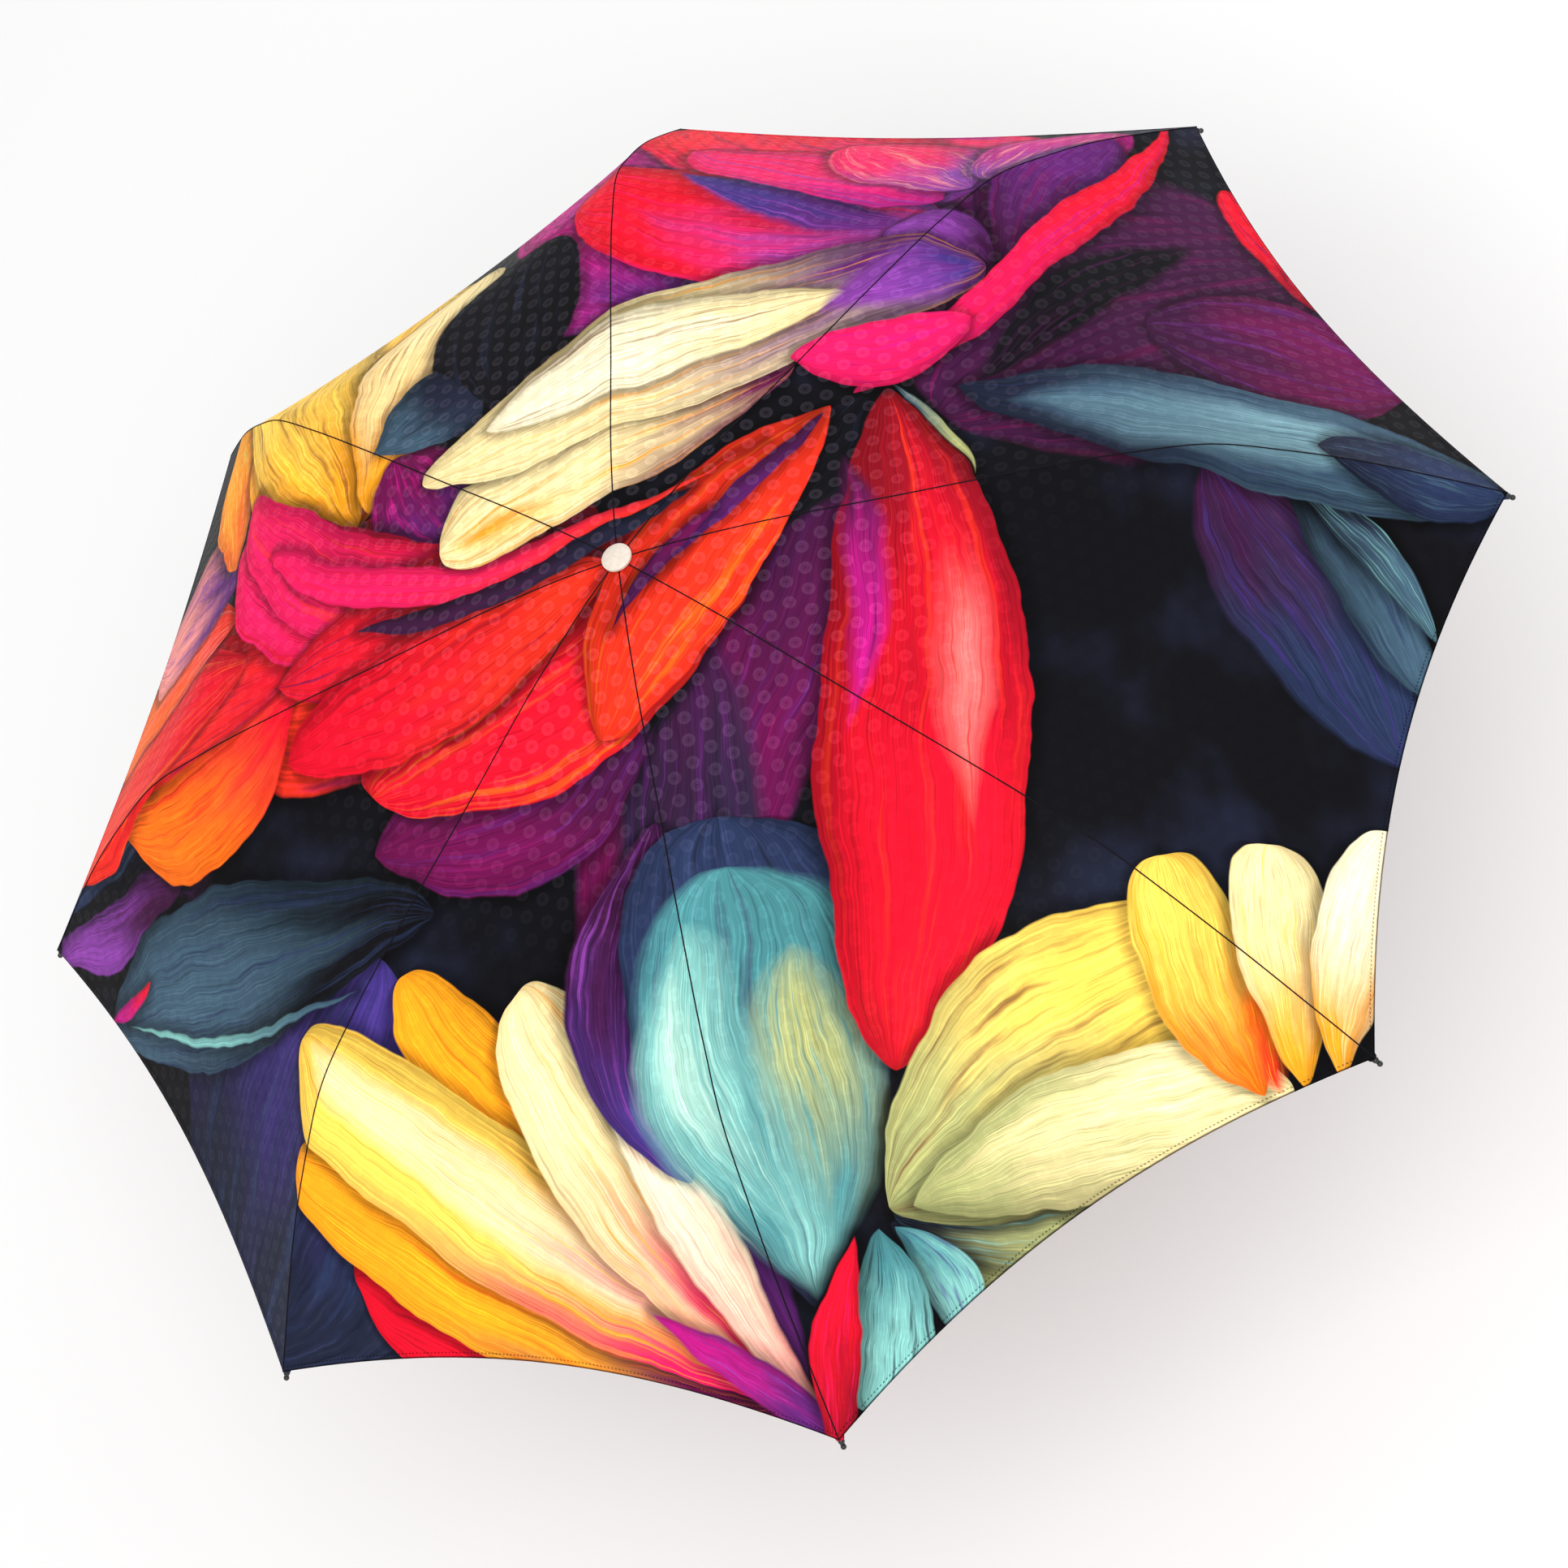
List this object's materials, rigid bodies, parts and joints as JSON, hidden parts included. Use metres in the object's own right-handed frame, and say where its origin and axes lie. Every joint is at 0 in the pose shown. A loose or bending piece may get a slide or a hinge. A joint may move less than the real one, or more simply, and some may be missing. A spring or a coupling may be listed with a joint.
{
  "type": "folding umbrella",
  "caption": "Open three-fold pocket umbrella: printed satin canopy on folding ribs, telescoping shaft, sliding runner and straight hand grip.",
  "frame": {"origin": "middle of the cylindrical hand grip, on the shaft's axis", "axes": "+Z along the shaft from the grip up to the crown; +X below rib 1, with the other ribs every 45 degrees clockwise seen from above"},
  "size_m": [0.9762, 0.9762, 0.6417],
  "materials": {
    "grip_rubber": "soft-touch matt",
    "core_plastic": "plain moulded",
    "grip_plastic": "fine matt grain",
    "collar_metal": "bright plated",
    "steel": "drawn wire",
    "tube_chrome": "bright plated tube",
    "black_plastic": "moulded, light sheen",
    "cap_plastic": "glossy cream, moulded",
    "button_plastic": "glossy cream",
    "canopy_fabric": "printed satin jacquard",
    "rib_black_steel": "black coated steel",
    "rib_aluminium": "satin",
    "rib_wire": "round spring wire",
    "tip_plastic": "glossy black, moulded"
  },
  "bodies": {
    "handle": {"handle_grip": "grip_rubber", "handle_core": "core_plastic", "handle_end_cap": "grip_plastic", "handle_collar": "collar_metal", "tube_pin": "steel", "lower_tube": "tube_chrome"},
    "middle_shaft": {"middle_tube": "tube_chrome", "middle_ferrule": "black_plastic"},
    "upper_shaft": {"upper_tube": "tube_chrome", "upper_ferrule": "black_plastic", "crown_notch": "black_plastic", "crown_wire": "steel", "notch_pin": "steel", "crown_cap": "cap_plastic", "canopy": "canopy_fabric"},
    "runner": {"runner": "black_plastic", "button_spring": "steel"},
    "release_button": {"runner_button": "button_plastic"},
    "rib_1_top": {"top_rib_1": "rib_black_steel"},
    "rib_1_stretcher": {"stretcher_1": "rib_black_steel"},
    "rib_1_middle": {"middle_rib_1": "rib_aluminium"},
    "rib_1_tail": {"tail_rib_1": "rib_wire", "tip_1": "tip_plastic"},
    "rib_2_top": {"top_rib_2": "rib_black_steel"},
    "rib_2_stretcher": {"stretcher_2": "rib_black_steel"},
    "rib_2_middle": {"middle_rib_2": "rib_aluminium"},
    "rib_2_tail": {"tail_rib_2": "rib_wire", "tip_2": "tip_plastic"},
    "rib_3_top": {"top_rib_3": "rib_black_steel"},
    "rib_3_stretcher": {"stretcher_3": "rib_black_steel"},
    "rib_3_middle": {"middle_rib_3": "rib_aluminium"},
    "rib_3_tail": {"tail_rib_3": "rib_wire", "tip_3": "tip_plastic"},
    "rib_4_top": {"top_rib_4": "rib_black_steel"},
    "rib_4_stretcher": {"stretcher_4": "rib_black_steel"},
    "rib_4_middle": {"middle_rib_4": "rib_aluminium"},
    "rib_4_tail": {"tail_rib_4": "rib_wire", "tip_4": "tip_plastic"},
    "rib_5_top": {"top_rib_5": "rib_black_steel"},
    "rib_5_stretcher": {"stretcher_5": "rib_black_steel"},
    "rib_5_middle": {"middle_rib_5": "rib_aluminium"},
    "rib_5_tail": {"tail_rib_5": "rib_wire", "tip_5": "tip_plastic"},
    "rib_6_top": {"top_rib_6": "rib_black_steel"},
    "rib_6_stretcher": {"stretcher_6": "rib_black_steel"},
    "rib_6_middle": {"middle_rib_6": "rib_aluminium"},
    "rib_6_tail": {"tail_rib_6": "rib_wire", "tip_6": "tip_plastic"},
    "rib_7_top": {"top_rib_7": "rib_black_steel"},
    "rib_7_stretcher": {"stretcher_7": "rib_black_steel"},
    "rib_7_middle": {"middle_rib_7": "rib_aluminium"},
    "rib_7_tail": {"tail_rib_7": "rib_wire", "tip_7": "tip_plastic"},
    "rib_8_top": {"top_rib_8": "rib_black_steel"},
    "rib_8_stretcher": {"stretcher_8": "rib_black_steel"},
    "rib_8_middle": {"middle_rib_8": "rib_aluminium"},
    "rib_8_tail": {"tail_rib_8": "rib_wire", "tip_8": "tip_plastic"}
  },
  "joints": [
    {"name": "middle_slide", "type": "slide", "parent": "handle", "child": "middle_shaft", "axis": [0, 0, 1], "range_m": [-0.16, 0]},
    {"name": "upper_slide", "type": "slide", "parent": "middle_shaft", "child": "upper_shaft", "axis": [0, 0, 1], "range_m": [-0.16, 0]},
    {"name": "runner_slide", "type": "slide", "parent": "upper_shaft", "child": "runner", "axis": [0, 0, 1], "range_m": [-0.10589, 0], "deforming": ["canopy"]},
    {"name": "button_press", "type": "slide", "parent": "runner", "child": "release_button", "axis": [-0.9239, -0.3827, 0], "range_m": [0, 0.0009], "stiffness_N_per_m": 1200, "springref_m": -0.001, "deforming": ["button_spring"]},
    {"name": "rib_1_top_hinge", "type": "hinge", "parent": "upper_shaft", "child": "rib_1_top", "pos_m": [0.009, 0, 0.5965], "axis": [0, -1, 0], "range_deg": [-78.39, 0]},
    {"name": "rib_1_stretcher_hinge", "type": "hinge", "parent": "rib_1_top", "child": "rib_1_stretcher", "pos_m": [0.09264, 0, 0.58135], "axis": [0, -1, 0], "range_deg": [0, 124.02]},
    {"name": "rib_1_middle_hinge", "type": "hinge", "parent": "rib_1_top", "child": "rib_1_middle", "pos_m": [0.17727, 0, 0.56948], "axis": [0, -1, 0], "range_deg": [0, 181.98]},
    {"name": "rib_1_tail_hinge", "type": "hinge", "parent": "rib_1_middle", "child": "rib_1_tail", "pos_m": [0.33376, 0, 0.52753], "axis": [0, -1, 0], "range_deg": [-150.32, 0]},
    {"name": "rib_2_top_hinge", "type": "hinge", "parent": "upper_shaft", "child": "rib_2_top", "pos_m": [0.00636, -0.00636, 0.5965], "axis": [-0.7071, -0.7071, 0], "range_deg": [-78.39, 0]},
    {"name": "rib_2_stretcher_hinge", "type": "hinge", "parent": "rib_2_top", "child": "rib_2_stretcher", "pos_m": [0.06551, -0.06551, 0.58135], "axis": [-0.7071, -0.7071, 0], "range_deg": [0, 124.02]},
    {"name": "rib_2_middle_hinge", "type": "hinge", "parent": "rib_2_top", "child": "rib_2_middle", "pos_m": [0.12535, -0.12535, 0.56948], "axis": [-0.7071, -0.7071, 0], "range_deg": [0, 181.98]},
    {"name": "rib_2_tail_hinge", "type": "hinge", "parent": "rib_2_middle", "child": "rib_2_tail", "pos_m": [0.236, -0.236, 0.52753], "axis": [-0.7071, -0.7071, 0], "range_deg": [-150.32, 0]},
    {"name": "rib_3_top_hinge", "type": "hinge", "parent": "upper_shaft", "child": "rib_3_top", "pos_m": [0, -0.009, 0.5965], "axis": [-1, 0, 0], "range_deg": [-78.39, 0]},
    {"name": "rib_3_stretcher_hinge", "type": "hinge", "parent": "rib_3_top", "child": "rib_3_stretcher", "pos_m": [0, -0.09264, 0.58135], "axis": [-1, 0, 0], "range_deg": [0, 124.02]},
    {"name": "rib_3_middle_hinge", "type": "hinge", "parent": "rib_3_top", "child": "rib_3_middle", "pos_m": [0, -0.17727, 0.56948], "axis": [-1, 0, 0], "range_deg": [0, 181.98]},
    {"name": "rib_3_tail_hinge", "type": "hinge", "parent": "rib_3_middle", "child": "rib_3_tail", "pos_m": [0, -0.33376, 0.52753], "axis": [-1, 0, 0], "range_deg": [-150.32, 0]},
    {"name": "rib_4_top_hinge", "type": "hinge", "parent": "upper_shaft", "child": "rib_4_top", "pos_m": [-0.00636, -0.00636, 0.5965], "axis": [-0.7071, 0.7071, 0], "range_deg": [-78.39, 0]},
    {"name": "rib_4_stretcher_hinge", "type": "hinge", "parent": "rib_4_top", "child": "rib_4_stretcher", "pos_m": [-0.06551, -0.06551, 0.58135], "axis": [-0.7071, 0.7071, 0], "range_deg": [0, 124.02]},
    {"name": "rib_4_middle_hinge", "type": "hinge", "parent": "rib_4_top", "child": "rib_4_middle", "pos_m": [-0.12535, -0.12535, 0.56948], "axis": [-0.7071, 0.7071, 0], "range_deg": [0, 181.98]},
    {"name": "rib_4_tail_hinge", "type": "hinge", "parent": "rib_4_middle", "child": "rib_4_tail", "pos_m": [-0.236, -0.236, 0.52753], "axis": [-0.7071, 0.7071, 0], "range_deg": [-150.32, 0]},
    {"name": "rib_5_top_hinge", "type": "hinge", "parent": "upper_shaft", "child": "rib_5_top", "pos_m": [-0.009, 0, 0.5965], "axis": [0, 1, 0], "range_deg": [-78.39, 0]},
    {"name": "rib_5_stretcher_hinge", "type": "hinge", "parent": "rib_5_top", "child": "rib_5_stretcher", "pos_m": [-0.09264, 0, 0.58135], "axis": [0, 1, 0], "range_deg": [0, 124.02]},
    {"name": "rib_5_middle_hinge", "type": "hinge", "parent": "rib_5_top", "child": "rib_5_middle", "pos_m": [-0.17727, 0, 0.56948], "axis": [0, 1, 0], "range_deg": [0, 181.98]},
    {"name": "rib_5_tail_hinge", "type": "hinge", "parent": "rib_5_middle", "child": "rib_5_tail", "pos_m": [-0.33376, 0, 0.52753], "axis": [0, 1, 0], "range_deg": [-150.32, 0]},
    {"name": "rib_6_top_hinge", "type": "hinge", "parent": "upper_shaft", "child": "rib_6_top", "pos_m": [-0.00636, 0.00636, 0.5965], "axis": [0.7071, 0.7071, 0], "range_deg": [-78.39, 0]},
    {"name": "rib_6_stretcher_hinge", "type": "hinge", "parent": "rib_6_top", "child": "rib_6_stretcher", "pos_m": [-0.06551, 0.06551, 0.58135], "axis": [0.7071, 0.7071, 0], "range_deg": [0, 124.02]},
    {"name": "rib_6_middle_hinge", "type": "hinge", "parent": "rib_6_top", "child": "rib_6_middle", "pos_m": [-0.12535, 0.12535, 0.56948], "axis": [0.7071, 0.7071, 0], "range_deg": [0, 181.98]},
    {"name": "rib_6_tail_hinge", "type": "hinge", "parent": "rib_6_middle", "child": "rib_6_tail", "pos_m": [-0.236, 0.236, 0.52753], "axis": [0.7071, 0.7071, 0], "range_deg": [-150.32, 0]},
    {"name": "rib_7_top_hinge", "type": "hinge", "parent": "upper_shaft", "child": "rib_7_top", "pos_m": [0, 0.009, 0.5965], "axis": [1, 0, 0], "range_deg": [-78.39, 0]},
    {"name": "rib_7_stretcher_hinge", "type": "hinge", "parent": "rib_7_top", "child": "rib_7_stretcher", "pos_m": [0, 0.09264, 0.58135], "axis": [1, 0, 0], "range_deg": [0, 124.02]},
    {"name": "rib_7_middle_hinge", "type": "hinge", "parent": "rib_7_top", "child": "rib_7_middle", "pos_m": [0, 0.17727, 0.56948], "axis": [1, 0, 0], "range_deg": [0, 181.98]},
    {"name": "rib_7_tail_hinge", "type": "hinge", "parent": "rib_7_middle", "child": "rib_7_tail", "pos_m": [0, 0.33376, 0.52753], "axis": [1, 0, 0], "range_deg": [-150.32, 0]},
    {"name": "rib_8_top_hinge", "type": "hinge", "parent": "upper_shaft", "child": "rib_8_top", "pos_m": [0.00636, 0.00636, 0.5965], "axis": [0.7071, -0.7071, 0], "range_deg": [-78.39, 0]},
    {"name": "rib_8_stretcher_hinge", "type": "hinge", "parent": "rib_8_top", "child": "rib_8_stretcher", "pos_m": [0.06551, 0.06551, 0.58135], "axis": [0.7071, -0.7071, 0], "range_deg": [0, 124.02]},
    {"name": "rib_8_middle_hinge", "type": "hinge", "parent": "rib_8_top", "child": "rib_8_middle", "pos_m": [0.12535, 0.12535, 0.56948], "axis": [0.7071, -0.7071, 0], "range_deg": [0, 181.98]},
    {"name": "rib_8_tail_hinge", "type": "hinge", "parent": "rib_8_middle", "child": "rib_8_tail", "pos_m": [0.236, 0.236, 0.52753], "axis": [0.7071, -0.7071, 0], "range_deg": [-150.32, 0]}
  ],
  "couplings": [
    {"joint": "rib_1_top_hinge", "follows": "runner_slide", "rad_per_m": 12.913},
    {"joint": "rib_1_stretcher_hinge", "follows": "runner_slide", "rad_per_m": -20.434},
    {"joint": "rib_1_middle_hinge", "follows": "runner_slide", "rad_per_m": -29.987},
    {"joint": "rib_1_tail_hinge", "follows": "runner_slide", "rad_per_m": 24.77},
    {"joint": "rib_2_top_hinge", "follows": "runner_slide", "rad_per_m": 12.913},
    {"joint": "rib_2_stretcher_hinge", "follows": "runner_slide", "rad_per_m": -20.434},
    {"joint": "rib_2_middle_hinge", "follows": "runner_slide", "rad_per_m": -29.987},
    {"joint": "rib_2_tail_hinge", "follows": "runner_slide", "rad_per_m": 24.77},
    {"joint": "rib_3_top_hinge", "follows": "runner_slide", "rad_per_m": 12.913},
    {"joint": "rib_3_stretcher_hinge", "follows": "runner_slide", "rad_per_m": -20.434},
    {"joint": "rib_3_middle_hinge", "follows": "runner_slide", "rad_per_m": -29.987},
    {"joint": "rib_3_tail_hinge", "follows": "runner_slide", "rad_per_m": 24.77},
    {"joint": "rib_4_top_hinge", "follows": "runner_slide", "rad_per_m": 12.913},
    {"joint": "rib_4_stretcher_hinge", "follows": "runner_slide", "rad_per_m": -20.434},
    {"joint": "rib_4_middle_hinge", "follows": "runner_slide", "rad_per_m": -29.987},
    {"joint": "rib_4_tail_hinge", "follows": "runner_slide", "rad_per_m": 24.77},
    {"joint": "rib_5_top_hinge", "follows": "runner_slide", "rad_per_m": 12.913},
    {"joint": "rib_5_stretcher_hinge", "follows": "runner_slide", "rad_per_m": -20.434},
    {"joint": "rib_5_middle_hinge", "follows": "runner_slide", "rad_per_m": -29.987},
    {"joint": "rib_5_tail_hinge", "follows": "runner_slide", "rad_per_m": 24.77},
    {"joint": "rib_6_top_hinge", "follows": "runner_slide", "rad_per_m": 12.913},
    {"joint": "rib_6_stretcher_hinge", "follows": "runner_slide", "rad_per_m": -20.434},
    {"joint": "rib_6_middle_hinge", "follows": "runner_slide", "rad_per_m": -29.987},
    {"joint": "rib_6_tail_hinge", "follows": "runner_slide", "rad_per_m": 24.77},
    {"joint": "rib_7_top_hinge", "follows": "runner_slide", "rad_per_m": 12.913},
    {"joint": "rib_7_stretcher_hinge", "follows": "runner_slide", "rad_per_m": -20.434},
    {"joint": "rib_7_middle_hinge", "follows": "runner_slide", "rad_per_m": -29.987},
    {"joint": "rib_7_tail_hinge", "follows": "runner_slide", "rad_per_m": 24.77},
    {"joint": "rib_8_top_hinge", "follows": "runner_slide", "rad_per_m": 12.913},
    {"joint": "rib_8_stretcher_hinge", "follows": "runner_slide", "rad_per_m": -20.434},
    {"joint": "rib_8_middle_hinge", "follows": "runner_slide", "rad_per_m": -29.987},
    {"joint": "rib_8_tail_hinge", "follows": "runner_slide", "rad_per_m": 24.77}
  ]
}
